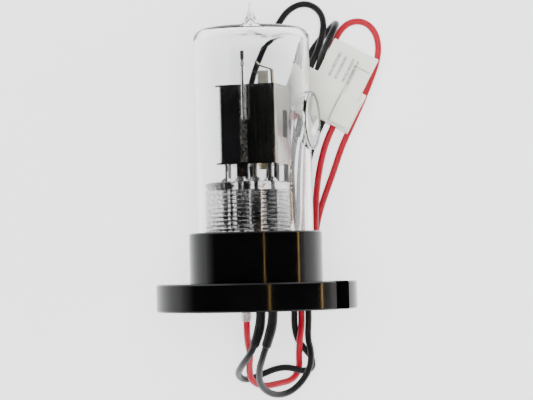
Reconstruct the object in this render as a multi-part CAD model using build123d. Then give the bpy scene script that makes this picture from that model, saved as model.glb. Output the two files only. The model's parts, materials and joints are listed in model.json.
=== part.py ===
from build123d import *
from math import cos, pi, radians, sin, sqrt, tan
import os

# A side-window gas discharge lamp on a round flange base, lying on its side, with three flying leads
# and a plug. Millimetres. The lamp is drawn upright first: its axis is local Z, z = 0 is the flange's
# underside, -Y is the side that faces up once the lamp lies down. lay_down() then turns the axis to
# +Y, with the flange's rim touching Z = 0.

# ---- driving dimensions ----
FLANGE_R = 25.0
FLANGE_T = 6.9
COLLAR_R = 16.6
COLLAR_TOP = 19.4
EDGE = 0.35                     # chamfer on the base's turned edges
LEAD_WELL_R = 9.0               # opening in the underside
WELL_DEPTH = 5.5
POTTING_SET_IN = 0.5
CEMENT_SET_IN = 0.5
BOLT_CIRCLE_R = 21.0
BOLT_HOLE_R = 1.75
BOLT_ANGLES = (90, 210, 330)    # from the upper side towards +X
NOTCH_ANGLE = 57.5
NOTCH_WIDTH = 6.0
NOTCH_DEPTH = 2.6

GLASS_R = 14.5
GLASS_WALL = 1.2
GLASS_FOOT = 9.2
GLASS_TOP = 70.4
SHOULDER_R = 2.6
TIP_TOP = 76.8
TIP_END_R = 0.45
CEMENT_GAP = 0.3                # between the glass and the collar's bore

WINDOW_TURN = -16.0             # turn of the optic frame about the axis
WINDOW_Z = 46.7
WINDOW_R = 7.25
WINDOW_FACE = 15.6              # outer face, from the axis
WINDOW_T = 1.0
NECK_BORE_R = 6.2

STEM_R = 12.2
STEM_WALL = 1.0
STEM_FOOT = 9.2
STEM_TOP = 31.8
PRESS_T = 2.0                   # the disc that closes the stem
PIN_R = 0.5
PIN_CIRCLE_R = 7.2
PIN_XS = (-6.6, -3.2, 0.3, 4.0)  # the pins on the upper side
BACK_PIN_ANGLES = (60, 105, 150)
CRIMP_W = 2.35
CRIMP_Z = (20.9, 29.8)
CRIMP_CORNER_R = 0.5
INNER_WIRE_R = 0.6

BOX_Z = (36.5, 55.7)            # electrode box
BOX_W = 7.9                     # its half width
BOX_REAR = -6.4
BOX_FRONT = 8.1
SHEET = 0.3
PLATE_T = 0.4
SLAB_U = (-1.0, 0.9)            # the focusing slab between the two halves of the box
SLOT = (4.6, 6.7)               # the slot that faces the window
SLOT_OFFSET = 0.7
SHIELD_CORNER_R = 1.1
PLATE_CORNER_R = 0.9
PLATE_OVERHANG = 1.0            # past the box's rear
PLATE_SET_IN = 0.1              # behind its front
FLANGE_LIP = 0.25               # the slab's edge past the box's sides
SERRATION_PITCH, SERRATION_COUNT = 1.15, 16
SERRATION_START, SERRATION_L, SERRATION_DEPTH = 0.8, 0.5, 0.18
APERTURE_R, APERTURE_HALF_T = 1.6, 0.3
ARC_HOLE_R = 0.5
FLANGE_HOLE_R = 2.6

# Places inside the box are (u, w): towards the window, and to its side.
BAR_PLACE, BAR_HALF = (3.8, -3.4), (1.2, 0.8)
BAR_Z = (34.8, 59.2)
BAR_CORNER_R, BAR_FIT = 0.3, 0.05
COIL_PLACE, COIL_Z = (4.2, 4.4), (42.6, 50.6)
COIL_CORE_R, COIL_TURN_R, COIL_WIRE_R = 0.62, 0.75, 0.22
COIL_PITCH, COIL_TURNS, COIL_START = 0.62, 12, 0.6
LEG_R = 0.35
ANODE_U, ANODE_PLATE_U, ANODE_HALF_W, ANODE_HALF_H = -3.4, (-3.1, -2.8), 3.2, 4.6
ANODE_ROD_R, ANODE_ROD_TOP = 0.3, 51.6
INSULATOR_R, INSULATOR_BORE_R, INSULATOR_TOP, INSULATOR_HOLE_R = 1.1, 0.32, 40.6, 1.15
STRAP_W, STRAP_SECTION, STRAP_BEND_R = -3.0, (1.7, 0.35), 0.5
STRAP_PATH = ((1.9, 61.6), (3.1, 60.5), (6.0, 59.5), (6.1, BOX_Z[1]))

GETTER_U, GETTER_W = 0.4, -9.4  # the glass-sleeved wire beside the box
GETTER_WIRE_R, GETTER_WIRE_Z = 0.25, (46.4, 61.6)
GETTER_FOOT_Z = (46.2, 46.7)
GETTER_SLEEVE_R, GETTER_SLEEVE_BORE_R, GETTER_SLEEVE_Z = 0.6, 0.27, (47.0, 59.6)
GETTER_BEAD_R, GETTER_BEAD_Z = 0.5, (60.2, 61.0)
GETTER_TIP_HALF, GETTER_TIP_TOP = (0.4, 0.2), 63.8
TAB_X, TAB_Y, TAB_FOOT = (-4.0, -1.5), (-7.25, -6.97), 33.0

LEAD_R = 0.85
SHRINK_R = 1.25
SHRINK_GAP = 0.03
SHRINK_SHARE = 0.5               # of the lead's third run that a sleeve covers
CLEAR_SLEEVE_L = 2.6
ARC_SHARE = 0.45                # of the shorter run that a route's arc takes
LENGTH = TIP_TOP                # along the axis

PLUG_CORNER = (24.25, 6.15, 3.9)  # the plug's lower right corner, on top of its leads
PLUG_TURN = -27.9
PLUG_W = 18.9
PLUG_BLOCK_L = 10.7
PLUG_L = 20.2
PLUG_H = 7.6
NOSE_X = (-13.9, -1.3)          # the narrower mating end
WAYS_X = (-10.2, -7.2, -4.2)    # the three circuits
WAY_R = 1.15
CONTACT_FIT = 0.05
CONTACT_SET_IN, CONTACT_BORE_Y, CONTACT_BORE_R = 2.0, 12.0, 0.75
HOUSING_CORNER_R = 0.35
LEAD_SEAT = 3.0                 # how far a lead's end lies inside its way
ARM_X = (-5.2, -1.6)            # the latch arm's narrow end
ARM_GRIP_X = (-5.9, -0.4)       # its wide end, which is pressed
ARM_Y = (0.6, 15.7)
ARM_GRIP_Y = 8.1                # where the wide end stops
ARM_PIVOT = (7.5, 8.5)
ARM_T = 1.1
ARM_GAP = 0.9
ARM_TIP_R = 1.2
GRIP_PAD = 0.5                  # the wide end's raised pad
GRIP_PAD_L = 3.4
RECESS_DEPTH = 1.4
RIB_CLEARANCE = 0.1
RECESS_X = -6.3
RECESS_Y = 16.2

# Routes of the three leads, lying: from the potting, in a loop below the flange, under its rim, up
# behind the glass, over a loop at the top, down again to a turn behind the collar, and up to the plug.
BLACK_A = [
    (0.9, -37.9, 25.0), (0.9, -41.2, 25.0), (-0.1, -45.2, 24.8), (-1.7, -49.0, 23.4),
    (-4.3, -52.4, 19.4), (-5.6, -55.0, 13.0), (-3.4, -56.8, 8.8), (0.6, -55.4, 6.4),
    (4.6, -53.9, 4.6), (8.0, -53.8, 3.6), (11.2, -55.0, 3.0), (13.9, -54.4, 1.8),
    (13.9, -51.6, 0.9), (12.0, -49.3, 0.9), (10.1, -46.8, 0.9), (9.4, -43.4, 0.9),
    (9.5, -39.4, 0.9), (9.45, -35.6, 0.9), (9.55, -32.0, 0.9), (8.1, -27.45, 0.9),
    (4.3, -22.65, 0.9), (1.8, -17.05, 0.9), (0.2, -10.65, 0.9), (-0.6, -3.95, 0.9),
    (-1.1, 3.05, 0.9), (-1.3, 10.05, 0.9), (-1.2, 16.85, 0.9), (0.6, 23.35, 0.9),
    (3.6, 29.55, 0.9), (6.7, 35.05, 0.9), (9.6, 39.25, 0.9), (13.6, 41.05, 0.9),
    (17.1, 39.75, 1.5), (18.9, 36.65, 2.9), (18.6, 32.45, 3.9), (17.2, 28.15, 3.6),
    (15.1, 23.95, 2.4), (13.6, 19.35, 1.7), (12.3, 14.55, 0.9), (10.9, 8.55, 0.9),
    (9.9, 2.55, 0.9), (9.4, -3.45, 0.9), (9.6, -8.25, 0.9), (9.9, -12.95, 0.9),
    (10.0, -16.25, 4.2), (10.0, -16.25, 8.9), (9.9, -12.95, 12.2), (10.1, -8.05, 12.0),
    (10.7, -3.05, 10.7), (11.6, 1.95, 8.9), (13.73, 8.09, 7.7), (16.63, 13.57, 7.7)]
BLACK_B = [
    (3.9, -37.9, 26.5), (3.9, -41.2, 26.5), (2.7, -45.4, 26.2), (1.3, -49.6, 24.4),
    (0.0, -53.6, 20.8), (0.2, -57.6, 16.4), (3.2, -60.4, 12.0), (7.2, -60.4, 8.6),
    (10.8, -57.8, 6.8), (13.2, -54.0, 5.6), (13.7, -50.2, 3.4), (12.8, -46.4, 0.9),
    (13.2, -42.0, 0.9), (13.15, -37.4, 0.9), (13.2, -32.8, 0.9), (12.9, -28.8, 0.9),
    (10.7, -24.25, 0.9), (8.1, -18.45, 0.9), (6.6, -12.45, 0.9), (6.3, -5.65, 0.9),
    (6.6, 1.15, 0.9), (7.5, 7.75, 0.9), (9.1, 14.05, 0.9), (11.5, 19.95, 0.9),
    (13.9, 25.35, 0.9), (16.5, 29.75, 0.9), (19.6, 33.05, 0.9), (21.7, 35.05, 3.3),
    (22.1, 34.75, 6.8), (21.1, 32.55, 9.1), (19.5, 29.45, 8.4), (18.1, 26.55, 5.1),
    (16.9, 22.85, 1.3), (15.6, 17.95, 0.9), (14.3, 12.75, 0.9), (13.0, 7.25, 0.9),
    (12.0, 1.55, 0.9), (11.7, -4.45, 0.9), (12.0, -9.85, 0.9), (12.4, -14.95, 0.9),
    (12.5, -18.25, 4.2), (12.5, -18.25, 8.9), (12.5, -14.95, 12.2), (12.7, -10.05, 11.9),
    (13.2, -4.85, 10.3), (14.2, 0.45, 8.6), (16.39, 6.69, 7.7), (19.29, 12.17, 7.7)]
RED = [
    (-2.7, -37.9, 24.0), (-2.7, -41.6, 24.0), (-2.7, -45.8, 21.6), (-2.0, -49.8, 17.8),
    (-2.5, -53.4, 14.2), (-2.0, -56.8, 11.8), (1.2, -58.4, 8.6), (5.2, -57.8, 5.2),
    (8.6, -57.2, 2.2), (10.5, -54.6, 0.9), (10.4, -50.8, 3.0), (10.7, -46.8, 3.2),
    (11.35, -42.6, 1.1), (11.3, -38.4, 0.9), (11.35, -33.8, 0.9), (11.1, -28.9, 0.9),
    (7.6, -23.25, 0.9), (5.3, -17.65, 0.9), (4.2, -11.65, 0.9), (3.9, -5.45, 0.9),
    (4.4, 0.55, 1.5), (6.4, 5.75, 2.9), (10.3, 9.95, 2.9), (14.8, 13.45, 2.9),
    (17.9, 17.75, 2.0), (19.2, 22.75, 0.9), (20.6, 27.95, 0.9), (22.4, 32.55, 0.9),
    (25.3, 35.65, 0.9), (29.3, 35.95, 0.9), (32.3, 33.35, 0.9), (33.3, 29.15, 0.9),
    (32.5, 24.55, 0.9), (30.6, 19.75, 0.9), (28.3, 14.35, 0.9), (25.5, 8.55, 0.9),
    (22.8, 2.95, 0.9), (20.8, -2.85, 0.9), (18.6, -8.45, 0.9), (16.6, -14.05, 0.9),
    (15.4, -19.85, 0.9), (14.9, -24.95, 0.9), (14.9, -28.25, 4.2), (14.9, -28.25, 8.9),
    (14.9, -24.95, 12.2), (15.1, -19.85, 12.0), (15.4, -14.05, 10.8), (15.9, -7.65, 9.4),
    (17.1, -1.25, 8.4), (18.95, 5.11, 7.7), (21.94, 10.77, 7.7)]


def lay_down(shape):
    return Pos(0, -LENGTH / 2, FLANGE_R) * Rot(X=-90) * shape


def optic(shape):
    """From the optic frame, where +X points out of the window, to the upright frame."""
    return Rot(Z=WINDOW_TURN) * shape


def disc(radius, bottom, top):
    return Pos(0, 0, bottom) * Cylinder(radius, top - bottom, align=(Align.CENTER, Align.CENTER, Align.MIN))


def ring(outer, inner, bottom, top):
    return disc(outer, bottom, top) - disc(inner, bottom, top)


def block(x, y, z):
    """A box from its low and high value along each axis."""
    size = [high - low for low, high in (x, y, z)]
    return Pos(x[0], y[0], z[0]) * Box(*size, align=(Align.MIN, Align.MIN, Align.MIN))


def group(shapes):
    return Compound(list(shapes))


def rim_place(angle, radius):
    """A place on the flange, at an angle from the upper side towards +X."""
    turn = radians(angle)
    return Pos(radius * sin(turn), -radius * cos(turn), 0)


# ---- base ----
def base_flange():
    flange = chamfer(disc(FLANGE_R, 0, FLANGE_T).edges(), EDGE)
    collar = disc(COLLAR_R, FLANGE_T, COLLAR_TOP)
    collar = chamfer(collar.edges().group_by(Axis.Z)[-1], EDGE)
    body = flange + collar
    body -= disc(GLASS_R + CEMENT_GAP, WELL_DEPTH, COLLAR_TOP)
    body -= disc(LEAD_WELL_R, 0, WELL_DEPTH)
    for angle in BOLT_ANGLES:
        body -= rim_place(angle, BOLT_CIRCLE_R) * disc(BOLT_HOLE_R, 0, FLANGE_T)
    notch = Box(NOTCH_WIDTH, 2 * NOTCH_DEPTH, 3 * FLANGE_T)
    return body - rim_place(NOTCH_ANGLE, FLANGE_R) * Rot(Z=NOTCH_ANGLE) * notch


def potting_plug():
    return disc(LEAD_WELL_R, POTTING_SET_IN, WELL_DEPTH) + disc(GLASS_R + CEMENT_GAP, WELL_DEPTH, GLASS_FOOT)


def seat_cement():
    return ring(GLASS_R + CEMENT_GAP, GLASS_R, GLASS_FOOT, COLLAR_TOP - CEMENT_SET_IN)


# ---- glass ----
def bulb_solid(radius, top, shoulder):
    body = disc(radius, GLASS_FOOT, top)
    return fillet(body.edges().group_by(Axis.Z)[-1], shoulder)


def window_rod(radius, start, end):
    """A rod along the window's axis, in the optic frame."""
    rod = Cylinder(radius, end - start, align=(Align.CENTER, Align.CENTER, Align.MIN))
    return Pos(start, 0, WINDOW_Z) * Rot(Y=90) * rod


def glass_bulb():
    outer = bulb_solid(GLASS_R, GLASS_TOP, SHOULDER_R)
    inner = bulb_solid(GLASS_R - GLASS_WALL, GLASS_TOP - GLASS_WALL, SHOULDER_R - GLASS_WALL)
    return outer - inner - optic(window_rod(NECK_BORE_R, 5, GLASS_R + 1))


def exhaust_tip():
    """Drawn out to a point, on a wide skirt."""
    skirt = [(3.2, 0), (2.15, 1.2), (1.5, 2.2), (0.95, 3.4), (0.6, 4.6)]    # radius, height above the glass
    outline = [(radius, GLASS_TOP + height) for radius, height in skirt]
    outline += [(TIP_END_R, TIP_TOP - 0.4), (0, TIP_TOP), (0, GLASS_TOP)]
    face = make_face(Polyline(*outline, close=True))
    return revolve(Plane.XZ * face, Axis.Z)


def window_neck():
    neck = window_rod(WINDOW_R, 11, WINDOW_FACE - WINDOW_T) - window_rod(NECK_BORE_R, 10, WINDOW_FACE)
    return optic(neck) - disc(GLASS_R, GLASS_FOOT, GLASS_TOP)


def window_disc():
    return optic(window_rod(WINDOW_R, WINDOW_FACE - WINDOW_T, WINDOW_FACE))


# ---- stem ----
def pin_places():
    front = [Pos(x, -sqrt(PIN_CIRCLE_R ** 2 - x ** 2), 0) for x in PIN_XS]
    back = [Rot(Z=angle) * Pos(PIN_CIRCLE_R, 0, 0) for angle in BACK_PIN_ANGLES]
    return front, back


def stem_flare():
    tube = ring(STEM_R, STEM_R - STEM_WALL, STEM_FOOT, STEM_TOP - PRESS_T)
    body = tube + disc(STEM_R, STEM_TOP - PRESS_T, STEM_TOP)
    front, back = pin_places()
    for place in front + back:
        body -= place * disc(PIN_R, STEM_TOP - PRESS_T, STEM_TOP)
    return body


def stem_pins():
    front, back = pin_places()
    top = BOX_Z[0] - PLATE_T
    long_pins = [place * disc(PIN_R, CRIMP_Z[1], top) for place in front]
    return group(long_pins + [place * disc(PIN_R, CRIMP_Z[0], top) for place in back])


def crimp_sleeves():
    sleeve = block((-CRIMP_W / 2, CRIMP_W / 2), (-CRIMP_W / 2, CRIMP_W / 2), CRIMP_Z)
    sleeve = fillet(sleeve.edges().filter_by(Axis.Z), CRIMP_CORNER_R)
    return group(place * sleeve for place in pin_places()[0])


def inner_wires():
    return group(place * disc(INNER_WIRE_R, STEM_FOOT, CRIMP_Z[0]) for place in pin_places()[0])


# ---- electrode box, in the optic frame ----
def shield(u, width, sheet, open_end):
    """Three walls of folded sheet, open towards +u or -u."""
    z = (BOX_Z[0], BOX_Z[1] - PLATE_T)
    outer = block(u, (-width, width), z)
    corners = outer.faces().sort_by(Axis.X)[0 if open_end > 0 else -1]
    outer = fillet(corners.edges().filter_by(Axis.Z), SHIELD_CORNER_R)
    inner = block(u, (-width + sheet, width - sheet), z)
    inner = Pos(open_end * sheet, 0, 0) * fillet(
        inner.faces().sort_by(Axis.X)[0 if open_end > 0 else -1].edges().filter_by(Axis.Z),
        SHIELD_CORNER_R - sheet)
    return outer - inner


def rear_shield():
    return optic(shield((BOX_REAR, SLAB_U[0]), BOX_W, SHEET, 1))


def front_shield():
    body = shield((SLAB_U[1] + SHEET, BOX_FRONT), BOX_W, SHEET, -1)
    half_w, half_h = SLOT[0] / 2, SLOT[1] / 2
    mid = (BOX_Z[0] + BOX_Z[1]) / 2
    slot = block((BOX_FRONT - 1, BOX_FRONT + 1), (SLOT_OFFSET - half_w, SLOT_OFFSET + half_w),
                 (mid - half_h, mid + half_h))
    return optic(body - slot)


def focusing_slab():
    body = block(SLAB_U, (-BOX_W, BOX_W), (BOX_Z[0], BOX_Z[1] - PLATE_T))
    for edge in (-BOX_W, BOX_W):
        for index in range(SERRATION_COUNT):
            z = BOX_Z[0] + SERRATION_START + index * SERRATION_PITCH
            body -= block(SLAB_U, (edge - SERRATION_DEPTH, edge + SERRATION_DEPTH), (z, z + SERRATION_L))
    return optic(body - window_rod(APERTURE_R, -2, 2))


def slab_flange():
    z = (BOX_Z[0], BOX_Z[1] - PLATE_T)
    body = block((SLAB_U[1], SLAB_U[1] + SHEET), (-BOX_W - FLANGE_LIP, BOX_W + FLANGE_LIP), z)
    return optic(body - window_rod(FLANGE_HOLE_R, 0, 2))


def aperture_disc():
    """The small refractory disc that pinches the arc."""
    body = window_rod(APERTURE_R, -APERTURE_HALF_T, APERTURE_HALF_T)
    return optic(body - window_rod(ARC_HOLE_R, -1, 1))


def bar_block(margin):
    """The ceramic bar's outline, grown by a margin for the holes it passes."""
    u, w = BAR_PLACE
    half, depth = BAR_HALF[0] + margin, BAR_HALF[1] + margin
    return block((u - half, u + half), (w - depth, w + depth), (BAR_Z[0] - margin, BAR_Z[1] + margin))


def cover_plate(bottom):
    u = (BOX_REAR - PLATE_OVERHANG, BOX_FRONT - PLATE_SET_IN)
    body = block(u, (-BOX_W, BOX_W), (bottom, bottom + PLATE_T))
    body = fillet(body.edges().filter_by(Axis.Z), PLATE_CORNER_R)
    insulator_hole = Pos(ANODE_U, 0, 0) * disc(INSULATOR_HOLE_R, bottom - 1, bottom + 1)
    return body - bar_block(BAR_FIT) - insulator_hole


def top_plate():
    return optic(cover_plate(BOX_Z[1] - PLATE_T))


def bottom_plate():
    return optic(cover_plate(BOX_Z[0] - PLATE_T))


def ceramic_bar():
    return optic(fillet(bar_block(0).edges().filter_by(Axis.Z), BAR_CORNER_R))


def cathode_coil():
    coil = disc(COIL_CORE_R, *COIL_Z)
    for index in range(COIL_TURNS):
        coil += Pos(0, 0, COIL_Z[0] + COIL_START + COIL_PITCH * index) * Torus(COIL_TURN_R, COIL_WIRE_R)
    return optic(Pos(*COIL_PLACE, 0) * coil)


def cathode_legs():
    top = Pos(*COIL_PLACE, 0) * disc(LEG_R, COIL_Z[1], BOX_Z[1] - PLATE_T)
    bottom = Pos(*COIL_PLACE, 0) * disc(LEG_R, BOX_Z[0], COIL_Z[0])
    return group([optic(top), optic(bottom)])


def anode_plate():
    return optic(block(ANODE_PLATE_U, (-ANODE_HALF_W, ANODE_HALF_W),
                       (WINDOW_Z - ANODE_HALF_H, WINDOW_Z + ANODE_HALF_H)))


def anode_rod():
    return optic(Pos(ANODE_U, 0, 0) * disc(ANODE_ROD_R, STEM_TOP, ANODE_ROD_TOP))


def anode_insulator():
    return optic(Pos(ANODE_U, 0, 0) * ring(INSULATOR_R, INSULATOR_BORE_R, STEM_TOP + 1, INSULATOR_TOP))


def top_strap():
    path = Plane.XZ * FilletPolyline(*STRAP_PATH, radius=STRAP_BEND_R)
    section = Plane(origin=path @ 0, z_dir=path % 0, x_dir=(0, 1, 0)) * Rectangle(*STRAP_SECTION)
    return optic(Pos(0, STRAP_W, 0) * sweep(section, path))


# ---- the getter and its glass-sleeved wire, beside the box ----
def getter_wire():
    upright = Pos(GETTER_U, GETTER_W, 0) * disc(GETTER_WIRE_R, *GETTER_WIRE_Z)
    foot = block((GETTER_U - GETTER_WIRE_R, GETTER_U + GETTER_WIRE_R), (GETTER_W, -BOX_W), GETTER_FOOT_Z)
    return optic(upright + foot)


def getter_sleeve():
    return optic(Pos(GETTER_U, GETTER_W, 0) * ring(GETTER_SLEEVE_R, GETTER_SLEEVE_BORE_R, *GETTER_SLEEVE_Z))


def getter_bead():
    return optic(Pos(GETTER_U, GETTER_W, 0) * ring(GETTER_BEAD_R, GETTER_WIRE_R, *GETTER_BEAD_Z))


def getter_tip():
    u, w = GETTER_TIP_HALF
    return optic(block((GETTER_U - u, GETTER_U + u), (GETTER_W - w, GETTER_W + w),
                       (GETTER_WIRE_Z[1], GETTER_TIP_TOP)))


def nickel_tab():
    return block(TAB_X, TAB_Y, (TAB_FOOT, BOX_Z[0] - PLATE_T))


# ---- leads ----
def corner_radii(points):
    """Each arc as large as its two runs allow."""
    runs = [Vector(*b) - Vector(*a) for a, b in zip(points, points[1:])]
    radii = []
    for before, after in zip(runs, runs[1:]):
        half_turn = radians(before.get_angle(after)) / 2
        radii.append(ARC_SHARE * min(before.length, after.length) / tan(half_turn))
    return radii


def tube_along(points, radius, bore=0.0):
    radii = corner_radii(points)
    path = FilletPolyline(*points, radius=radii)
    start = Plane(origin=path @ 0, z_dir=path % 0)
    section = Circle(radius) - Circle(bore) if bore else Circle(radius)
    return sweep(start * section, path), path, radii


def lead(name, points):
    solid, path, radii = tube_along(points, LEAD_R)
    expected = pi * LEAD_R ** 2 * path.length
    print(f"{name}: length {path.length:.1f} mm, smallest radius {min(radii):.1f} mm, "
          f"volume / section x length {solid.volume / expected:.4f}")
    print("  radii", [round(radius, 1) for radius in radii])
    return solid


def shrink_sleeve(points):
    """A sleeve over the start of a lead: its first two runs and a share of the third."""
    start, first, second, beyond = (Vector(*point) for point in points[:4])
    end = second + (beyond - second) * SHRINK_SHARE
    path = FilletPolyline(start, first, second, end, radius=corner_radii(points[:4]))
    section = Circle(SHRINK_R) - Circle(LEAD_R + SHRINK_GAP)
    return sweep(Plane(origin=path @ 0, z_dir=path % 0) * section, path)


def short_sleeve(points, length):
    start = Vector(*points[0])
    along = (Vector(*points[1]) - start).normalized()
    plane = Plane(origin=start, z_dir=along)
    return extrude(plane * (Circle(SHRINK_R) - Circle(LEAD_R + SHRINK_GAP)), length)


# ---- plug, in its own frame: +Y out of the mating end, X from -PLUG_W to 0, Z from 0 ----
def plug_place(shape):
    return Pos(*PLUG_CORNER) * Rot(Z=PLUG_TURN) * shape


def way(x, y, radius):
    rod = Cylinder(radius, y[1] - y[0], align=(Align.CENTER, Align.CENTER, Align.MIN))
    return Pos(x, y[0], PLUG_H / 2) * Rot(X=-90) * rod


def plug_housing():
    rear = block((-PLUG_W, 0), (0, PLUG_BLOCK_L), (0, PLUG_H))
    nose = block(NOSE_X, (0, PLUG_L), (0, PLUG_H))
    body = fillet((rear + nose).edges().filter_by(Axis.Z), HOUSING_CORNER_R)
    for x in WAYS_X:
        body -= way(x, (-1, PLUG_L + 1), WAY_R)
    recess = block((RECESS_X, 1), (-1, RECESS_Y), (PLUG_H - RECESS_DEPTH, PLUG_H + 1))
    return plug_place(body - recess)


def latch_arm():
    """A see-saw arm over a recess, on a short rib at its middle."""
    floor = PLUG_H - RECESS_DEPTH
    z = (floor + ARM_GAP, floor + ARM_GAP + ARM_T)
    arm = block(ARM_X, (ARM_GRIP_Y - 1, ARM_Y[1]), z)
    arm = fillet(arm.edges().filter_by(Axis.Z).group_by(Axis.Y)[-1], ARM_TIP_R)
    grip = block(ARM_GRIP_X, (ARM_Y[0], ARM_GRIP_Y), z)
    pad = block(ARM_GRIP_X, (ARM_Y[0], ARM_Y[0] + GRIP_PAD_L), (z[0], z[1] + GRIP_PAD))
    rib = block(ARM_X, ARM_PIVOT, (floor + RIB_CLEARANCE, z[1]))
    return plug_place(arm + grip + pad + rib)


def plug_terminals():
    barrel = (LEAD_SEAT, PLUG_L - CONTACT_SET_IN)
    contacts = [way(x, barrel, WAY_R - CONTACT_FIT) - way(x, (CONTACT_BORE_Y, PLUG_L), CONTACT_BORE_R)
                for x in WAYS_X]
    return plug_place(group(contacts))


def build():
    upright = {
        "base_flange": base_flange(), "potting_plug": potting_plug(), "seat_cement": seat_cement(),
        "glass_bulb": glass_bulb(), "exhaust_tip": exhaust_tip(), "window_neck": window_neck(),
        "window_disc": window_disc(), "stem_flare": stem_flare(), "stem_pins": stem_pins(),
        "crimp_sleeves": crimp_sleeves(), "inner_wires": inner_wires(), "rear_shield": rear_shield(),
        "front_shield": front_shield(), "focusing_slab": focusing_slab(), "slab_flange": slab_flange(),
        "aperture_disc": aperture_disc(), "top_plate": top_plate(), "bottom_plate": bottom_plate(),
        "ceramic_bar": ceramic_bar(), "cathode_coil": cathode_coil(), "cathode_legs": cathode_legs(),
        "anode_plate": anode_plate(), "anode_rod": anode_rod(), "anode_insulator": anode_insulator(),
        "top_strap": top_strap(), "getter_wire": getter_wire(), "getter_sleeve": getter_sleeve(),
        "getter_bead": getter_bead(), "getter_tip": getter_tip(), "nickel_tab": nickel_tab()}
    lying = {name: lay_down(shape) for name, shape in upright.items()}
    lying["lead_black_a"] = lead("lead_black_a", BLACK_A)
    lying["lead_black_b"] = lead("lead_black_b", BLACK_B)
    lying["lead_red"] = lead("lead_red", RED)
    lying["shrink_black_a"] = shrink_sleeve(BLACK_A)
    lying["shrink_black_b"] = shrink_sleeve(BLACK_B)
    lying["shrink_clear"] = short_sleeve(RED, CLEAR_SLEEVE_L)
    lying["plug_housing"] = plug_housing()
    lying["latch_arm"] = latch_arm()
    lying["plug_terminals"] = plug_terminals()
    return lying


os.makedirs("parts", exist_ok=True)
for node, shape in build().items():
    export_step(shape, f"parts/{node}.step")
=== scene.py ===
import json
from math import cos, pi, radians, sin, sqrt

import bmesh
import bpy
from mathutils import Matrix, Vector


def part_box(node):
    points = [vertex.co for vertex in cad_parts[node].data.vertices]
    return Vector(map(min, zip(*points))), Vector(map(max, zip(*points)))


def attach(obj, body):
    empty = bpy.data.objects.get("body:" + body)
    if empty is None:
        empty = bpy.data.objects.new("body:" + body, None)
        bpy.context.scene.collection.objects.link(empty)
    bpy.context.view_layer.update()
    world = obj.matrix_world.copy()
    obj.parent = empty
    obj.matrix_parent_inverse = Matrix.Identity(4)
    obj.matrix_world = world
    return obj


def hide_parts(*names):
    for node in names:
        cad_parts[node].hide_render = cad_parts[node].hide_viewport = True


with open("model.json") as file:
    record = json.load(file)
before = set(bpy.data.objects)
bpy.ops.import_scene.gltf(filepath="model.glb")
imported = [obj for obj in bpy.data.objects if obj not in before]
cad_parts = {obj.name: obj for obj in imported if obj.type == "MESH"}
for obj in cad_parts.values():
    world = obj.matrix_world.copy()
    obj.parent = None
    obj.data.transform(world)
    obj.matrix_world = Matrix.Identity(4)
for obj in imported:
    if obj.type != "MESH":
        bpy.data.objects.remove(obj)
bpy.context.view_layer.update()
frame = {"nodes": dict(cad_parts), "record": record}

MM = 0.001

# ---- the frame's own measures ----
GLASS_LOW, GLASS_HIGH = (Vector(corner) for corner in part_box("glass_bulb"))
TIP_HIGH = Vector(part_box("exhaust_tip")[1])
STEM_LOW, STEM_HIGH = (Vector(corner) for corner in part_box("stem_flare"))
AXIS_Z = (GLASS_LOW.z + GLASS_HIGH.z) / 2
GLASS_R = (GLASS_HIGH.x - GLASS_LOW.x) / 2
WINDOW_Y = (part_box("window_disc")[0][1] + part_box("window_disc")[1][1]) / 2

# ---- the glass ----
GLASS_WALL = 1.2 * MM
SHOULDER_R, CROWN = 2.6 * MM, 0.3 * MM      # the end's rounded edge, and how far its middle stands up
TIP_FOOT_R = 3.3 * MM
TIP_SKIRT = [(2.7, 0.5), (2.15, 1.2), (1.75, 1.75), (1.4, 2.3), (1.05, 3.0), (0.78, 3.8), (0.58, 4.5),
             (0.48, 5.1), (0.50, 5.5), (0.46, 5.9), (0.30, 6.2)]    # radius and height above the glass, in mm
WINDOW_TURN = radians(16)                   # how far the window's axis is lifted from +X
NECK_R, NECK_BORE_R = 7.25 * MM, 6.2 * MM
NECK_FACE, NECK_INSIDE = 15.6 * MM, 14.6 * MM       # along the window's axis, from the lamp's
NECK_EDGE, NECK_EDGE_SHARE = 0.2 * MM, 0.975        # the face's chamfer, and the share of NECK_R it leaves

# ---- the stem ----
STEM_X, STEM_R, STEM_WALL, STEM_PRESS_T = -1.7 * MM, 10.6 * MM, 1.0 * MM, 2.0 * MM
RIDGE_PITCH, RIDGE_DEPTH, RIDGE_STEP, GROOVE_LAG = 1.05 * MM, 0.13 * MM, 0.13 * MM, 0.8
STEM_RIM_R = 0.7 * MM
PIN_CIRCLE_R, FRONT_PINS_X = 7.2 * MM, (-6.6, -3.2, 0.3, 4.0)
BOSS_R, BOSS_SINK, BOSS_FLATTEN = 1.75 * MM, 0.2 * MM, 0.8

# ---- the leads ----
LEAD_D = 1.7 * MM
SHRINK_R = 1.25 * MM
SHRINK_FIT = 1.02                           # its bore, as a share of the lead's diameter

# ---- the plug, in its own frame ----
# +Y is out of the mating end, X runs from its left side to 0 at its right, and Z is up from its lower face.
PLUG_CORNER = Vector((24.25, 6.15, 3.9)) * MM
PLUG_TURN = radians(-27.9)
PLUG_H = 7.6 * MM
PLUG = Matrix.Translation(PLUG_CORNER) @ Matrix.Rotation(PLUG_TURN, 4, "Z")
BLOCK_X, BLOCK_L = -18.9, 10.7              # the wide rear block, in mm
NOSE_X, NOSE_L = (-13.9, -1.3), 20.2
WAYS_X, WAY_R = (-10.2, -7.2, -4.2), 1.15 * MM


# ================= camera, light and floor =================
CAMERA_PLACE = (2.95 * MM, -27.25 * MM, 540 * MM)
CAMERA_TILT, CAMERA_ROLL = radians(1.8), radians(-1.35)
SENSOR_MM, LENS_MM = 36, 139.7
STRIP_DISTANCE, STRIP_Y, STRIP_SIZE = 0.7, -0.085, (0.013, 0.235)
WARM = (1.0, 0.62, 0.22)


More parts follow.
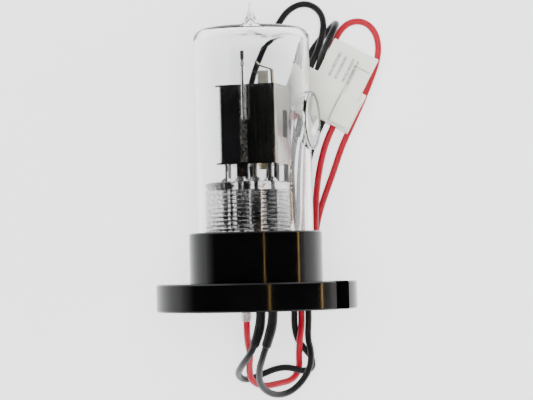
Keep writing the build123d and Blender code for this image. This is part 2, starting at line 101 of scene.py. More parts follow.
def add_camera():
    data = bpy.data.cameras.new("camera")
    data.sensor_width = SENSOR_MM
    data.lens = LENS_MM
    data.clip_end = 10
    camera = bpy.data.objects.new("camera", data)
    bpy.context.collection.objects.link(camera)
    turn = Matrix.Rotation(CAMERA_TILT, 4, "X") @ Matrix.Rotation(CAMERA_ROLL, 4, "Z")
    camera.matrix_world = Matrix.Translation(CAMERA_PLACE) @ turn
    bpy.context.scene.camera = camera


def add_area(name, place, target, size, power, colour=(1, 1, 1)):
    data = bpy.data.lights.new(name, "AREA")
    data.shape = "RECTANGLE"
    data.size, data.size_y = size
    data.energy = power
    data.color = colour
    lamp = bpy.data.objects.new(name, data)
    bpy.context.collection.objects.link(lamp)
    lamp.location = place
    lamp.rotation_euler = (Vector(target) - Vector(place)).to_track_quat("-Z", "Y").to_euler()
    return lamp


def add_lights():
    """Soft lights that the gloss doesn't mirror, and two thin warm strips that draw the gold lines."""
    for name, place, size, power, through_glass in (
            ("overhead_soft", (-0.05, 0.0, 0.95), (0.7, 0.7), 16.0, False),
            ("foot_soft", (0.10, -0.75, 0.42), (0.6, 0.4), 4.0, True),
            ("head_soft", (-0.10, 0.75, 0.42), (0.6, 0.4), 4.0, True),
            ("right_soft", (0.70, 0.05, 0.34), (0.5, 0.5), 2.5, True)):
        lamp = add_area(name, place, (0, 0, 0.02), size, power)
        lamp.visible_glossy = False         # the base and the box mirror only the dark surround
        lamp.visible_transmission = through_glass
    for name, angle, power in (("warm_strip_high", 14.4, 0.22), ("warm_strip_side", 78.2, 0.40)):
        turn = radians(angle)
        place = Vector((STRIP_DISTANCE * sin(turn), STRIP_Y, AXIS_Z + STRIP_DISTANCE * cos(turn)))
        strip = add_area(name, place, (0, STRIP_Y, AXIS_Z), STRIP_SIZE, power, WARM)
        strip.rotation_euler = (0, turn, 0)


def add_world():
    """Bright below the horizon, as a lit table is, and almost black above."""
    world = bpy.data.worlds.new("studio")
    bpy.context.scene.world = world
    world.use_nodes = True
    nodes, links = world.node_tree.nodes, world.node_tree.links
    place = nodes.new("ShaderNodeTexCoord")
    split = nodes.new("ShaderNodeSeparateXYZ")
    ramp = nodes.new("ShaderNodeValToRGB")
    links.new(place.outputs["Generated"], split.inputs[0])
    links.new(split.outputs["Z"], ramp.inputs[0])
    stops = ramp.color_ramp.elements
    stops[0].position, stops[0].color = 0.0, (1.6, 1.6, 1.62, 1)
    stops[1].position, stops[1].color = 1.0, (0.006, 0.006, 0.007, 1)
    for position, grey in ((0.10, 0.9), (0.24, 0.03)):
        stop = stops.new(position)
        stop.color = (grey, grey, grey * 1.02, 1)
    background = nodes["Background"]
    links.new(ramp.outputs[0], background.inputs["Color"])
    background.inputs["Strength"].default_value = 1.0


# ================= materials =================
BLANK, FULL = (0, 0, 0), (1, 1, 1)
SHADE_BAND_FADE = 0.03


class Graph:
    """A material's node tree, with the object's own coordinates as its texture space."""

    def __init__(self, name):
        self.material = bpy.data.materials.new(name)
        self.material.use_nodes = True
        self.nodes = self.material.node_tree.nodes
        self.links = self.material.node_tree.links
        self.shader = self.nodes["Principled BSDF"]
        self.place = self.nodes.new("ShaderNodeTexCoord").outputs["Object"]

    def fixed(self, **values):
        for name, value in values.items():
            self.shader.inputs[name.replace("_", " ")].default_value = value
        return self

    def link(self, source, target):
        self.links.new(source, target)

    def stretched(self, scale, turn=(0, 0, 0)):
        mapping = self.nodes.new("ShaderNodeMapping")
        mapping.inputs["Scale"].default_value = scale
        mapping.inputs["Rotation"].default_value = turn
        self.link(self.place, mapping.inputs[0])
        return mapping.outputs[0]

    def noise(self, scale, detail=4.0, rough=0.5, space=None):
        node = self.nodes.new("ShaderNodeTexNoise")
        node.inputs["Scale"].default_value = scale
        node.inputs["Detail"].default_value = detail
        node.inputs["Roughness"].default_value = rough
        self.link(space or self.place, node.inputs["Vector"])
        return node.outputs["Fac"]

    def cells(self, scale, space=None):
        node = self.nodes.new("ShaderNodeTexVoronoi")
        node.inputs["Scale"].default_value = scale
        self.link(space or self.place, node.inputs["Vector"])
        return node.outputs["Distance"]

    def ramp(self, source, *stops):
        node = self.nodes.new("ShaderNodeValToRGB")
        elements = node.color_ramp.elements
        while len(elements) < len(stops):
            elements.new(0.5)
        for element, (position, colour) in zip(elements, stops):
            element.position = position
            element.color = (*colour, 1)
        self.link(source, node.inputs[0])
        return node.outputs[0]

    def spread(self, source, low, high, start=0.0, end=1.0):
        node = self.nodes.new("ShaderNodeMapRange")
        for name, value in (("From Min", start), ("From Max", end), ("To Min", low), ("To Max", high)):
            node.inputs[name].default_value = value
        self.link(source, node.inputs["Value"])
        return node.outputs[0]

    def times(self, first, second):
        node = self.nodes.new("ShaderNodeMath")
        node.operation = "MULTIPLY"
        self.link(first, node.inputs[0])
        self.link(second, node.inputs[1])
        return node.outputs[0]

    def colour(self, source):
        self.link(source, self.shader.inputs["Base Color"])
        return self

    def rough(self, source, low, high, start=0.3, end=0.7):
        self.link(self.spread(source, low, high, start, end), self.shader.inputs["Roughness"])
        return self

    def bump(self, source, depth, strength=1.0):
        node = self.nodes.new("ShaderNodeBump")
        node.inputs["Distance"].default_value = depth
        node.inputs["Strength"].default_value = strength
        self.link(source, node.inputs["Height"])
        self.link(node.outputs[0], self.shader.inputs["Normal"])
        return self


def black_base():
    g = Graph("black_base")
    turned = g.noise(900, 2, space=g.stretched((0.02, 1, 0.02)))
    cloud = g.noise(60, 4)
    g.colour(g.ramp(cloud, (0.3, (0.0010, 0.0010, 0.0012)), (0.7, (0.0022, 0.0022, 0.0026))))
    g.rough(g.noise(240, 5), 0.07, 0.15).bump(turned, 0.00001, 0.25)
    return g.fixed(IOR=1.27).material


def cement():
    g = Graph("cement")
    grain = g.noise(1400, 6, 0.65)
    g.colour(g.ramp(g.noise(300, 5), (0.3, (0.62, 0.60, 0.54)), (0.7, (0.80, 0.78, 0.72))))
    g.rough(grain, 0.75, 0.92).bump(grain, 0.00012, 0.6)
    return g.material


def clear_glass(name, waves=0.3):
    g = Graph(name)
    drawn = g.noise(110, 3, space=g.stretched((1, 0.12, 1)))
    g.colour(g.ramp(g.noise(40, 2), (0.3, (0.985, 0.99, 0.99)), (0.7, (1, 1, 1))))
    g.rough(g.noise(700, 3), 0.0, 0.012).bump(drawn, 0.00005, waves)
    return g.fixed(IOR=1.46, Transmission_Weight=1.0).material


def stem_glass():
    """Pressed glass with painted shade as dark specks in the pits of its bead bumps, most uneven along both
    sides.
    """
    g = Graph("stem_glass")
    split = g.nodes.new("ShaderNodeSeparateXYZ")
    g.link(g.place, split.inputs[0])
    across = g.nodes.new("ShaderNodeMath")
    across.operation = "ABSOLUTE"
    g.link(split.outputs["X"], across.inputs[0])
    sides = g.spread(across.outputs[0], 0.10, 1.0, 6.0 * MM, 9.0 * MM)
    beads = g.noise(1500, 2, 0.5, space=g.stretched((1, 1.4, 1)))
    # painted shade: the bead noise's low points, the bumps' pits, are coloured dark brown
    dimple_shade = g.ramp(beads, (0.34, (0.10, 0.06, 0.04)), (0.40, (0.98, 0.98, 0.98)))
    g.colour(dimple_shade).rough(g.noise(900, 3), 0.0, 0.05)
    bump = g.nodes.new("ShaderNodeBump")
    bump.inputs["Distance"].default_value = 0.00012
    g.link(sides, bump.inputs["Strength"])
    g.link(beads, bump.inputs["Height"])
    g.link(bump.outputs[0], g.shader.inputs["Normal"])
    return g.fixed(IOR=1.46, Transmission_Weight=1.0).material


def metal(name, dark, light, rough, grain=(1, 0.05, 1), depth=0.00002):
    g = Graph(name)
    lines = g.noise(1500, 4, 0.6, space=g.stretched(grain))
    g.colour(g.ramp(g.noise(260, 5, 0.6), (0.3, dark), (0.7, light)))
    g.rough(lines, rough[0], rough[1]).bump(lines, depth, 0.5)
    return g.fixed(Metallic=1.0).material


def speckled_nickel(name, dark, light, rough):
    """Sheet that is frosted, with painted glints as fine bright grains in its colour."""
    g = Graph(name)
    glint_grains = g.cells(1700)
    # painted glints: the light colour fills the cells' small distances
    g.colour(g.ramp(glint_grains, (0.04, light), (0.16, dark), (1.0, dark)))
    g.rough(g.noise(1900, 5, 0.7), rough[0], rough[1]).bump(g.noise(2400, 4, 0.7), 0.00002, 0.7)
    return g.fixed(Metallic=1.0).material


def ceramic():
    g = Graph("ceramic_white")
    grain = g.noise(2200, 5, 0.6)
    g.colour(g.ramp(g.noise(400, 4), (0.3, (0.66, 0.66, 0.56)), (0.7, (0.80, 0.80, 0.70))))
    g.rough(grain, 0.45, 0.65).bump(grain, 0.00003, 0.5)
    return g.material


def matt(name, dark, light, rough=(0.5, 0.7), scale=1500):
    g = Graph(name)
    grain = g.noise(scale, 5, 0.6)
    g.colour(g.ramp(g.noise(scale / 4, 4), (0.3, dark), (0.7, light)))
    g.rough(grain, rough[0], rough[1]).bump(grain, 0.00003, 0.5)
    return g.material


def insulation(name, dark, light):
    """Extruded wire insulation: satin, with faint lengthwise drag and dull patches."""
    g = Graph(name)
    patches = g.noise(180, 5, 0.6)
    drag = g.noise(1200, 3, 0.6)
    g.colour(g.ramp(patches, (0.3, dark), (0.7, light)))
    g.rough(patches, 0.30, 0.46).bump(drag, 0.00002, 0.5)
    return g.fixed(IOR=1.45).material


def shrink_clear():
    g = Graph("shrink_clear")
    crease = g.noise(900, 4)
    g.colour(g.ramp(g.noise(500, 3), (0.3, (0.86, 0.84, 0.84)), (0.7, (0.97, 0.96, 0.96))))
    g.rough(crease, 0.18, 0.35).bump(crease, 0.00008, 0.5)
    return g.fixed(IOR=1.4, Transmission_Weight=0.75).material


def nylon():
    """Natural nylon: milky, with painted shade in faint long grey bands over its nose, where the contacts
    inside would darken it.
    """
    g = Graph("nylon")
    own = g.nodes.new("ShaderNodeMapping")
    own.vector_type = "TEXTURE"
    own.inputs["Location"].default_value = PLUG_CORNER
    own.inputs["Rotation"].default_value = (0, 0, PLUG_TURN)
    g.link(g.place, own.inputs[0])
    split = g.nodes.new("ShaderNodeSeparateXYZ")
    g.link(own.outputs[0], split.inputs[0])
    edges = []
    for start, end in ((0.00, 0.16), (0.28, 0.43), (0.60, 0.75), (0.81, 0.94)):
        edges += [(start, BLANK), (start + SHADE_BAND_FADE, FULL), (end - SHADE_BAND_FADE, FULL), (end, BLANK)]
    # painted shade: long grey bands across the nose, masked by position in the plug's frame
    contact_shade_bands = g.ramp(g.spread(split.outputs["X"], 0.0, 1.0, -11.4 * MM, -5.0 * MM), *edges)
    length = g.ramp(g.spread(split.outputs["Y"], 0.0, 1.0, 10.0 * MM, 18.5 * MM),
                    (0.07, BLANK), (0.14, FULL), (0.84, FULL), (0.92, BLANK))
    ripple = g.ramp(g.noise(1300, 4, 0.6), (0.35, (0.35, 0.35, 0.35)), (0.65, FULL))
    shade = g.times(g.times(contact_shade_bands, length), ripple)
    cloud = g.ramp(g.noise(120, 4, 0.6), (0.3, (0.77, 0.78, 0.71)), (0.7, (0.88, 0.88, 0.81)))
    mix = g.nodes.new("ShaderNodeMix")
    mix.data_type = "RGBA"
    g.link(shade, mix.inputs["Factor"])
    g.link(cloud, mix.inputs[6])
    mix.inputs[7].default_value = (0.26, 0.28, 0.29, 1)         # the painted shade's grey, where the contacts inside darken the nylon
    g.link(mix.outputs[2], g.shader.inputs["Base Color"])
    grain = g.noise(2600, 4, 0.6)
    g.rough(grain, 0.34, 0.50).bump(grain, 0.000015, 0.5)
    g.fixed(Subsurface_Weight=0.35, Subsurface_Radius=(0.0012, 0.0011, 0.0009), Subsurface_Scale=1.0)
    return g.material


def floor_material():
    g = Graph("pale_floor")
    g.colour(g.ramp(g.noise(6, 3), (0.3, (0.60, 0.605, 0.615)), (0.7, (0.62, 0.625, 0.635))))
    g.rough(g.noise(90, 3), 0.5, 0.6)
    return g.fixed(Emission_Color=(0.97, 0.98, 1.0, 1), Emission_Strength=1.55).material


MATERIALS = {
    "black_base": black_base(),
    "cement": cement(),
    "lamp_glass": clear_glass("lamp_glass"),
    "quartz_window": clear_glass("quartz_window", 0.08),
    "stem_glass": stem_glass(),
    "pin_metal": metal("pin_metal", (0.10, 0.10, 0.105), (0.26, 0.26, 0.27), (0.3, 0.5)),
    "crimp_dark": matt("crimp_dark", (0.075, 0.075, 0.08), (0.15, 0.15, 0.155), (0.35, 0.55)),
    # its second colour is the painted glints' colour
    "nickel_dark": speckled_nickel("nickel_dark", (0.30, 0.30, 0.32), (0.62, 0.60, 0.56), (0.14, 0.26)),
    "nickel": metal("nickel", (0.24, 0.23, 0.215), (0.34, 0.325, 0.30), (0.12, 0.24)),
    "nickel_seam": metal("nickel_seam", (0.45, 0.43, 0.40), (0.85, 0.83, 0.78), (0.15, 0.4), (1, 1, 1),
                         0.00040),
    "tungsten": metal("tungsten", (0.14, 0.14, 0.15), (0.28, 0.28, 0.29), (0.35, 0.55)),
    "ceramic_white": ceramic(),
    "coil_oxide": matt("coil_oxide", (0.60, 0.58, 0.52), (0.76, 0.74, 0.68), (0.7, 0.9), 3000),
    "strap_metal": metal("strap_metal", (0.20, 0.14, 0.09), (0.46, 0.38, 0.27), (0.25, 0.4)),
    "wire_black": insulation("wire_black", (0.006, 0.0065, 0.0075), (0.013, 0.0135, 0.015)),
    "wire_red": insulation("wire_red", (0.33, 0.003, 0.016), (0.40, 0.006, 0.022)),
    "shrink_black": matt("shrink_black", (0.003, 0.003, 0.0035), (0.008, 0.008, 0.009), (0.4, 0.6), 2400),
    "shrink_clear": shrink_clear(),
    "nylon": nylon(),
    "terminal_tin": metal("terminal_tin", (0.45, 0.45, 0.43), (0.66, 0.66, 0.63), (0.2, 0.35)),
}


SHARP_ANGLE = radians(30)


def smooth(mesh):
    mesh.shade_smooth()
    mesh.set_sharp_from_angle(angle=SHARP_ANGLE)


def dress(piece, slot):
    """Gives a carried-over CAD node its material and smooth shading."""
    piece.data.materials.clear()
    piece.data.materials.append(MATERIALS[slot])
    smooth(piece.data)


# ================= mesh helpers =================
def as_mesh(name, bm):
    mesh = bpy.data.meshes.new(name)
    bm.to_mesh(mesh)
    bm.free()
    return mesh


def add_piece(name, mesh, slot, nodes=(), body="root"):
    piece = bpy.data.objects.new(name, mesh)
    bpy.context.collection.objects.link(piece)
    mesh.materials.append(MATERIALS[slot])
    smooth(mesh)
    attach(piece, body)
    if nodes:
        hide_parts(*nodes)
    return piece


def arc(centre, radius, start, end, count):
    """Points of an arc, in degrees from the first axis."""
    turns = [radians(start + (end - start) * index / count) for index in range(count + 1)]
    return [(centre[0] + radius * cos(turn), centre[1] + radius * sin(turn)) for turn in turns]


def lathe(name, outline, steps=128, axis_x=0.0):
    """A solid turned about the lamp's axis. The outline is (radius, y), a loop; a radius of 0 is a pole."""
    bm = bmesh.new()
    rings = []
    for radius, y in outline:
        if radius < 1e-7:
            rings.append([bm.verts.new((axis_x, y, AXIS_Z))])
            continue
        turns = [2 * pi * index / steps for index in range(steps)]
        rings.append([bm.verts.new((axis_x + radius * cos(t), y, AXIS_Z + radius * sin(t))) for t in turns])
    for low, high in zip(rings, rings[1:] + rings[:1]):
        if len(low) == 1 and len(high) == 1:
            continue
        for index in range(steps):
            after = (index + 1) % steps
            if len(low) == 1:
                bm.faces.new((low[0], high[index], high[after]))
            elif len(high) == 1:
                bm.faces.new((low[index], low[after], high[0]))
            else:
                bm.faces.new((low[index], low[after], high[after], high[index]))
    bmesh.ops.recalc_face_normals(bm, faces=bm.faces)
    return as_mesh(name, bm)


def pipe_mesh(name, points, radius, bore=0.0, steps=20, shape=None):
    """A rod along points, or a tube with a bore; shape(share) scales the outer radius along its length."""
    bm = bmesh.new()
    points = [Vector(point) for point in points]
    side = (points[1] - points[0]).orthogonal().normalized()
    skins = [radius, bore] if bore else [radius]
    rings = [[] for _ in skins]
    for index, point in enumerate(points):
        before, after = points[max(index - 1, 0)], points[min(index + 1, len(points) - 1)]
        along = (after - before).normalized()
        side = (side - along * side.dot(along)).normalized()
        other = along.cross(side)
        scale = shape(index / (len(points) - 1)) if shape else 1.0
        for skin, size in enumerate(skins):
            grown = size * scale if skin == 0 else size
            ring = []
            for step in range(steps):
                turn = 2 * pi * step / steps
                ring.append(bm.verts.new(point + grown * (cos(turn) * side + sin(turn) * other)))
            rings[skin].append(ring)
    for rows in rings:
        for low, high in zip(rows, rows[1:]):
            for step in range(steps):
                after = (step + 1) % steps
                bm.faces.new((low[step], low[after], high[after], high[step]))
    for end in (0, -1):
        if bore:
            for step in range(steps):
                after = (step + 1) % steps
                outer, inner = rings[0][end], rings[1][end]
                bm.faces.new((outer[step], outer[after], inner[after], inner[step]))
        else:
            bm.faces.new(rings[0][end])
    bmesh.ops.recalc_face_normals(bm, faces=bm.faces)
    return as_mesh(name, bm)


def outline_slab(name, outline, low, high, place, bevel, slot, nodes=(), body="root"):
    """A flat outline of (x, y) points, thickened from low to high, with rounded edges."""
    bm = bmesh.new()
    face = bm.faces.new([bm.verts.new((x, y, low)) for x, y in outline])
    lifted = bmesh.ops.extrude_face_region(bm, geom=[face])
    raised = [item for item in lifted["geom"] if isinstance(item, bmesh.types.BMVert)]
    bmesh.ops.translate(bm, verts=raised, vec=(0, 0, high - low))
    bmesh.ops.recalc_face_normals(bm, faces=bm.faces)
    sharp = [edge for edge in bm.edges if edge.calc_face_angle(0) > radians(35)]
    bmesh.ops.bevel(bm, geom=sharp, offset=bevel, segments=3, affect="EDGES", profile=0.5)
    bmesh.ops.transform(bm, matrix=place, verts=bm.verts)
    return add_piece(name, as_mesh(name, bm), slot, nodes, body)


def combine(piece, tool_mesh, operation="DIFFERENCE"):
    """Joins a mesh to a piece, or takes its volume out of it."""
    tool = bpy.data.objects.new("tool", tool_mesh)
    bpy.context.collection.objects.link(tool)
    step = piece.modifiers.new("step", "BOOLEAN")
    step.operation = operation
    step.solver = "EXACT"
    step.object = tool
    depsgraph = bpy.context.evaluated_depsgraph_get()
    done = bpy.data.meshes.new_from_object(piece.evaluated_get(depsgraph))
    piece.modifiers.clear()
    piece.data = done
    bpy.data.objects.remove(tool)
    smooth(done)


# ================= leads =================
# The routes' points in millimetres, the same as the CAD tubes'.
BLACK_A = [
    (0.9, -37.9, 25.0), (0.9, -41.2, 25.0), (-0.1, -45.2, 24.8), (-1.7, -49.0, 23.4),
    (-4.3, -52.4, 19.4), (-5.6, -55.0, 13.0), (-3.4, -56.8, 8.8), (0.6, -55.4, 6.4),
    (4.6, -53.9, 4.6), (8.0, -53.8, 3.6), (11.2, -55.0, 3.0), (13.9, -54.4, 1.8),
    (13.9, -51.6, 0.9), (12.0, -49.3, 0.9), (10.1, -46.8, 0.9), (9.4, -43.4, 0.9),
    (9.5, -39.4, 0.9), (9.45, -35.6, 0.9), (9.55, -32.0, 0.9), (8.1, -27.45, 0.9),
    (4.3, -22.65, 0.9), (1.8, -17.05, 0.9), (0.2, -10.65, 0.9), (-0.6, -3.95, 0.9),
    (-1.1, 3.05, 0.9), (-1.3, 10.05, 0.9), (-1.2, 16.85, 0.9), (0.6, 23.35, 0.9),
    (3.6, 29.55, 0.9), (6.7, 35.05, 0.9), (9.6, 39.25, 0.9), (13.6, 41.05, 0.9),
    (17.1, 39.75, 1.5), (18.9, 36.65, 2.9), (18.6, 32.45, 3.9), (17.2, 28.15, 3.6),
    (15.1, 23.95, 2.4), (13.6, 19.35, 1.7), (12.3, 14.55, 0.9), (10.9, 8.55, 0.9),
    (9.9, 2.55, 0.9), (9.4, -3.45, 0.9), (9.6, -8.25, 0.9), (9.9, -12.95, 0.9),
    (10.0, -16.25, 4.2), (10.0, -16.25, 8.9), (9.9, -12.95, 12.2), (10.1, -8.05, 12.0),
    (10.7, -3.05, 10.7), (11.6, 1.95, 8.9), (13.73, 8.09, 7.7), (16.63, 13.57, 7.7)]
BLACK_B = [
    (3.9, -37.9, 26.5), (3.9, -41.2, 26.5), (2.7, -45.4, 26.2), (1.3, -49.6, 24.4),
    (0.0, -53.6, 20.8), (0.2, -57.6, 16.4), (3.2, -60.4, 12.0), (7.2, -60.4, 8.6),
    (10.8, -57.8, 6.8), (13.2, -54.0, 5.6), (13.7, -50.2, 3.4), (12.8, -46.4, 0.9),
    (13.2, -42.0, 0.9), (13.15, -37.4, 0.9), (13.2, -32.8, 0.9), (12.9, -28.8, 0.9),
    (10.7, -24.25, 0.9), (8.1, -18.45, 0.9), (6.6, -12.45, 0.9), (6.3, -5.65, 0.9),
    (6.6, 1.15, 0.9), (7.5, 7.75, 0.9), (9.1, 14.05, 0.9), (11.5, 19.95, 0.9),
    (13.9, 25.35, 0.9), (16.5, 29.75, 0.9), (19.6, 33.05, 0.9), (21.7, 35.05, 3.3),
    (22.1, 34.75, 6.8), (21.1, 32.55, 9.1), (19.5, 29.45, 8.4), (18.1, 26.55, 5.1),
    (16.9, 22.85, 1.3), (15.6, 17.95, 0.9), (14.3, 12.75, 0.9), (13.0, 7.25, 0.9),
    (12.0, 1.55, 0.9), (11.7, -4.45, 0.9), (12.0, -9.85, 0.9), (12.4, -14.95, 0.9),
    (12.5, -18.25, 4.2), (12.5, -18.25, 8.9), (12.5, -14.95, 12.2), (12.7, -10.05, 11.9),
    (13.2, -4.85, 10.3), (14.2, 0.45, 8.6), (16.39, 6.69, 7.7), (19.29, 12.17, 7.7)]
RED = [
    (-2.7, -37.9, 24.0), (-2.7, -41.6, 24.0), (-2.7, -45.8, 21.6), (-2.0, -49.8, 17.8),
    (-2.5, -53.4, 14.2), (-2.0, -56.8, 11.8), (1.2, -58.4, 8.6), (5.2, -57.8, 5.2),
    (8.6, -57.2, 2.2), (10.5, -54.6, 0.9), (10.4, -50.8, 3.0), (10.7, -46.8, 3.2),
    (11.35, -42.6, 1.1), (11.3, -38.4, 0.9), (11.35, -33.8, 0.9), (11.1, -28.9, 0.9),
    (7.6, -23.25, 0.9), (5.3, -17.65, 0.9), (4.2, -11.65, 0.9), (3.9, -5.45, 0.9),
    (4.4, 0.55, 1.5), (6.4, 5.75, 2.9), (10.3, 9.95, 2.9), (14.8, 13.45, 2.9),
    (17.9, 17.75, 2.0), (19.2, 22.75, 0.9), (20.6, 27.95, 0.9), (22.4, 32.55, 0.9),
    (25.3, 35.65, 0.9), (29.3, 35.95, 0.9), (32.3, 33.35, 0.9), (33.3, 29.15, 0.9),
    (32.5, 24.55, 0.9), (30.6, 19.75, 0.9), (28.3, 14.35, 0.9), (25.5, 8.55, 0.9),
    (22.8, 2.95, 0.9), (20.8, -2.85, 0.9), (18.6, -8.45, 0.9), (16.6, -14.05, 0.9),
    (15.4, -19.85, 0.9), (14.9, -24.95, 0.9), (14.9, -28.25, 4.2), (14.9, -28.25, 8.9),
    (14.9, -24.95, 12.2), (15.1, -19.85, 12.0), (15.4, -14.05, 10.8), (15.9, -7.65, 9.4),
    (17.1, -1.25, 8.4), (18.95, 5.11, 7.7), (21.94, 10.77, 7.7)]


def add_lead(name, route, slot):
    """The lead as a cord on its route, and the points of its evaluated middle line."""
    data = bpy.data.curves.new(name, "CURVE")
    data.dimensions = "3D"
    spline = data.splines.new("NURBS")
    spline.points.add(len(route) - 1)
    for point, place in zip(spline.points, route):
        point.co = (*(value * MM for value in place), 1)
    spline.order_u = 3
    spline.use_endpoint_u = True
    data.resolution_u = 10
    lead = bpy.data.objects.new(name, data)
    bpy.context.collection.objects.link(lead)
    line = bpy.data.meshes.new_from_object(lead)
    points = [vertex.co.copy() for vertex in line.vertices]
    bpy.data.meshes.remove(line)
    data.bevel_depth = LEAD_D / 2
    data.bevel_resolution = 6
    data.use_fill_caps = True
    data.materials.append(MATERIALS[slot])
    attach(lead, "root")
    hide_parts(name)
    return lead, points


def first_part(points, length):
    """The line's points over its first stretch."""
    kept, done = [points[0]], 0.0
    for before, after in zip(points, points[1:]):
        step = (after - before).length
        if done + step >= length:
            kept.append(before.lerp(after, (length - done) / step))
            break
        kept.append(after)
        done += step
    return kept


def shrunk(share):
    """Shrunk tubing: slightly waisted, drawn in at its free end."""
    return 1.0 - 0.03 * sin(pi * share * 3) - (0.14 * max(0.0, share - 0.93) / 0.07)


def add_sleeve(node, slot, points, length):
    """The shrunk tubing over the lead's first stretch."""
    line = first_part(points, length)
    fine = [line[0]] + [before.lerp(after, share) for before, after in zip(line, line[1:])
                        for share in (0.25, 0.5, 0.75, 1.0)]
    mesh = pipe_mesh(node + "_tube", fine, SHRINK_R, LEAD_D / 2 * SHRINK_FIT, 24, shrunk)
    return add_piece(node + "_tube", mesh, slot, [node])


# Each lead: its route, slot and length, and its sleeve's node, slot and length (metres).
LEADS = {
    "lead_black_a": (BLACK_A, "wire_black", 0.252, "shrink_black_a", "shrink_black", 0.0098),
    "lead_black_b": (BLACK_B, "wire_black", 0.240, "shrink_black_b", "shrink_black", 0.0100),
    "lead_red": (RED, "wire_red", 0.260, "shrink_clear", "shrink_clear", 0.0032),
}


# ================= glass =================
def add_envelope():
    """One glass: the bulb with its domed end and drawn-out tip, the side neck, and its window."""
    foot, top = GLASS_LOW.y, GLASS_HIGH.y
    middle = foot + (top - foot) * 0.5
    outer = [(0, foot), (GLASS_R, foot), (GLASS_R, middle)]
    outer += arc((GLASS_R - SHOULDER_R, top - CROWN - SHOULDER_R), SHOULDER_R, 0, 84, 12)
    outer += [(GLASS_R * 0.55, top - CROWN * 0.5), (TIP_FOOT_R, top)]
    outer += [(radius * MM, top + height * MM) for radius, height in TIP_SKIRT] + [(0, TIP_HIGH.y)]
    envelope = add_piece("glass_envelope", lathe("glass_envelope", outer), "lamp_glass",
                         ["glass_bulb", "exhaust_tip", "window_neck", "window_disc"])

    inner_r, inner_top, bend = GLASS_R - GLASS_WALL, top - CROWN - GLASS_WALL, SHOULDER_R - GLASS_WALL * 0.6
    below = foot - 2 * MM               # past the open foot, so that the cut goes through
    inner = [(0, below), (inner_r, below), (inner_r, middle)]
    inner += arc((inner_r - bend, inner_top - bend), bend, 0, 86, 12)
    inner += [(2.6 * MM, inner_top), (1.3 * MM, inner_top + 0.8 * MM), (0.5 * MM, top + 0.9 * MM),
              (0, top + 1.6 * MM)]      # drawn up a little way into the tip

    out = Vector((cos(WINDOW_TURN), 0, sin(WINDOW_TURN)))
    centre = Vector((0, WINDOW_Y, AXIS_Z))
    neck_line = [centre + out * 10 * MM, centre + out * (NECK_FACE - NECK_EDGE), centre + out * NECK_FACE]
    neck = pipe_mesh("neck", neck_line, NECK_R, steps=96, shape=neck_edge)
    bore = pipe_mesh("bore", [centre + out * 5 * MM, centre + out * NECK_INSIDE], NECK_BORE_R, steps=96)
    combine(envelope, neck, "UNION")
    combine(envelope, lathe("inside", inner))
    combine(envelope, bore)


def neck_edge(share):
    """The neck is full width up to its face, whose edge is drawn in."""
    return NECK_EDGE_SHARE if share == 1 else 1.0


def add_stem():
    """The pressed stem: a ridged tube, closed above by a disc with a glass boss round each front pin."""
    foot, top = STEM_LOW.y, STEM_HIGH.y
    inner_top = top - STEM_PRESS_T
    count = int((inner_top - foot) / RIDGE_STEP)
    heights = [foot + index * RIDGE_STEP for index in range(count + 1)]
    ridges = [(STEM_R + RIDGE_DEPTH * sin(2 * pi * y / RIDGE_PITCH), y) for y in heights]
    grooves = [(STEM_R - STEM_WALL - RIDGE_DEPTH * sin(2 * pi * y / RIDGE_PITCH + GROOVE_LAG), y)
               for y in reversed(heights)]
    rim = arc((STEM_R - STEM_RIM_R, top - STEM_RIM_R), STEM_RIM_R, 0, 90, 6)
    outline = ridges + rim + [(0, top), (0, inner_top)] + grooves
    stem = add_piece("stem_tube", lathe("stem_tube", outline, axis_x=STEM_X), "stem_glass", ["stem_flare"])
    for x in FRONT_PINS_X:
        up = sqrt(PIN_CIRCLE_R ** 2 - (x * MM) ** 2)
        bm = bmesh.new()
        at_pin = Matrix.Translation((x * MM, top - BOSS_SINK, AXIS_Z + up))
        place = at_pin @ Matrix.Diagonal((1, BOSS_FLATTEN, 1, 1))
        bmesh.ops.create_uvsphere(bm, u_segments=32, v_segments=20, radius=BOSS_R, matrix=place)
        combine(stem, as_mesh("boss", bm), "UNION")


# ================= plug =================
def in_mm(points):
    """Points given in millimetres, in metres."""
    return [(x * MM, y * MM) for x, y in points]


def plug_box(x, y, z):
    """A plain box in the plug's frame, in millimetres, for cutting."""
    bm = bmesh.new()
    bmesh.ops.create_cube(bm, size=1)
    size = Matrix.Diagonal(((x[1] - x[0]) * MM, (y[1] - y[0]) * MM, (z[1] - z[0]) * MM, 1))
    middle = Vector((sum(x) / 2, sum(y) / 2, sum(z) / 2)) * MM
    bmesh.ops.transform(bm, matrix=PLUG @ Matrix.Translation(middle) @ size, verts=bm.verts)
    return as_mesh("box", bm)


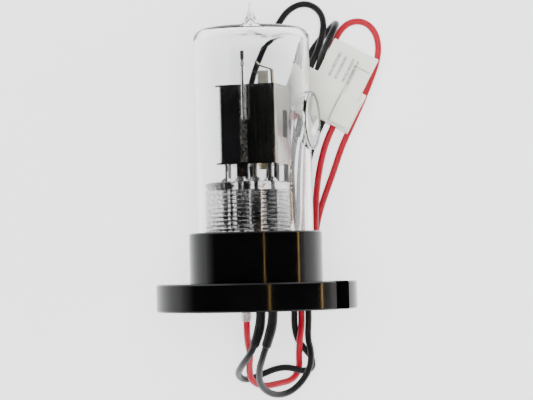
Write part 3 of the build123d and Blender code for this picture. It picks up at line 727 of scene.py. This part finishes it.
def add_plug():
    """The housing: a wide rear block and a narrower nose, bored through, with a step down for the latch."""
    nose_left, nose_right = NOSE_X
    outline = in_mm([(BLOCK_X, 0), (0, 0), (0, BLOCK_L), (nose_right, BLOCK_L), (nose_right, NOSE_L),
                     (nose_left, NOSE_L), (nose_left, BLOCK_L), (BLOCK_X, BLOCK_L)])
    shell = outline_slab("plug_shell", outline, 0, PLUG_H, PLUG, 0.28 * MM, "nylon", ["plug_housing"])
    for x in WAYS_X:
        ends = [PLUG @ Vector((x * MM, y * MM, PLUG_H / 2)) for y in (-1, 21.5)]
        combine(shell, pipe_mesh("way", ends, WAY_R, steps=32))
    combine(shell, plug_box((-6.3, 1), (-1, 16.2), (6.2, 9)))           # the recess under the latch
    combine(shell, plug_box((-14.2, -12.9), (12.5, 21), (2.2, 5.4)))    # the guide groove
    combine(shell, plug_box((-3.4, -2.3), (16.9, 17.7), (7.25, 9)))     # a pocket near the nose's end
    return shell


def add_latch():
    """The latch: a narrow end over the nose, a wide end with a raised grip, and the rib it rocks on."""
    corner = [(x - 4.0, y + 14.5) for x, y in arc((0, 0), 1.2, 90, 180, 6)]
    lever = in_mm([(-5.9, 0.6), (-0.4, 0.6), (-0.4, 8.1), (-1.6, 8.1), (-1.6, 15.7)] + corner
                  + [(-5.2, 8.6), (-5.9, 8.1)])
    grip = in_mm([(-5.9, 0.6), (-0.4, 0.6), (-0.4, 4.0), (-5.9, 4.0)])
    rib = in_mm([(-5.2, 7.5), (-1.6, 7.5), (-1.6, 8.5), (-5.2, 8.5)])
    return [outline_slab("latch_lever", lever, 7.1 * MM, 8.2 * MM, PLUG, 0.16 * MM, "nylon", ["latch_arm"],
                         "latch"),
            outline_slab("latch_grip", grip, 7.6 * MM, 8.7 * MM, PLUG, 0.2 * MM, "nylon", (), "latch"),
            outline_slab("latch_rib", rib, 6.3 * MM, 7.4 * MM, PLUG, 0.1 * MM, "nylon", (), "latch")]


def add_floor():
    reach = 1.5
    plane = bpy.data.meshes.new("floor")
    plane.from_pydata([(-reach, -reach, 0), (reach, -reach, 0), (reach, reach, 0), (-reach, reach, 0)], [],
                      [(0, 1, 2, 3)])
    plane.materials.append(floor_material())
    floor = bpy.data.objects.new("floor", plane)
    bpy.context.collection.objects.link(floor)


# ================= making =================
add_camera()
add_world()
add_lights()

leads = {name: add_lead(name, route, slot) for name, (route, slot, *_) in LEADS.items()}
sleeves = {name: add_sleeve(node, slot, leads[name][1], length)
           for name, (_, _, _, node, slot, length) in LEADS.items()}

add_floor()

slots = {part["node"]: part["material_slot"] for part in frame["record"]["subparts"]}
for node, piece in frame["nodes"].items():
    dress(piece, slots[node])

add_envelope()
add_stem()
plug = add_plug()
latch = add_latch()
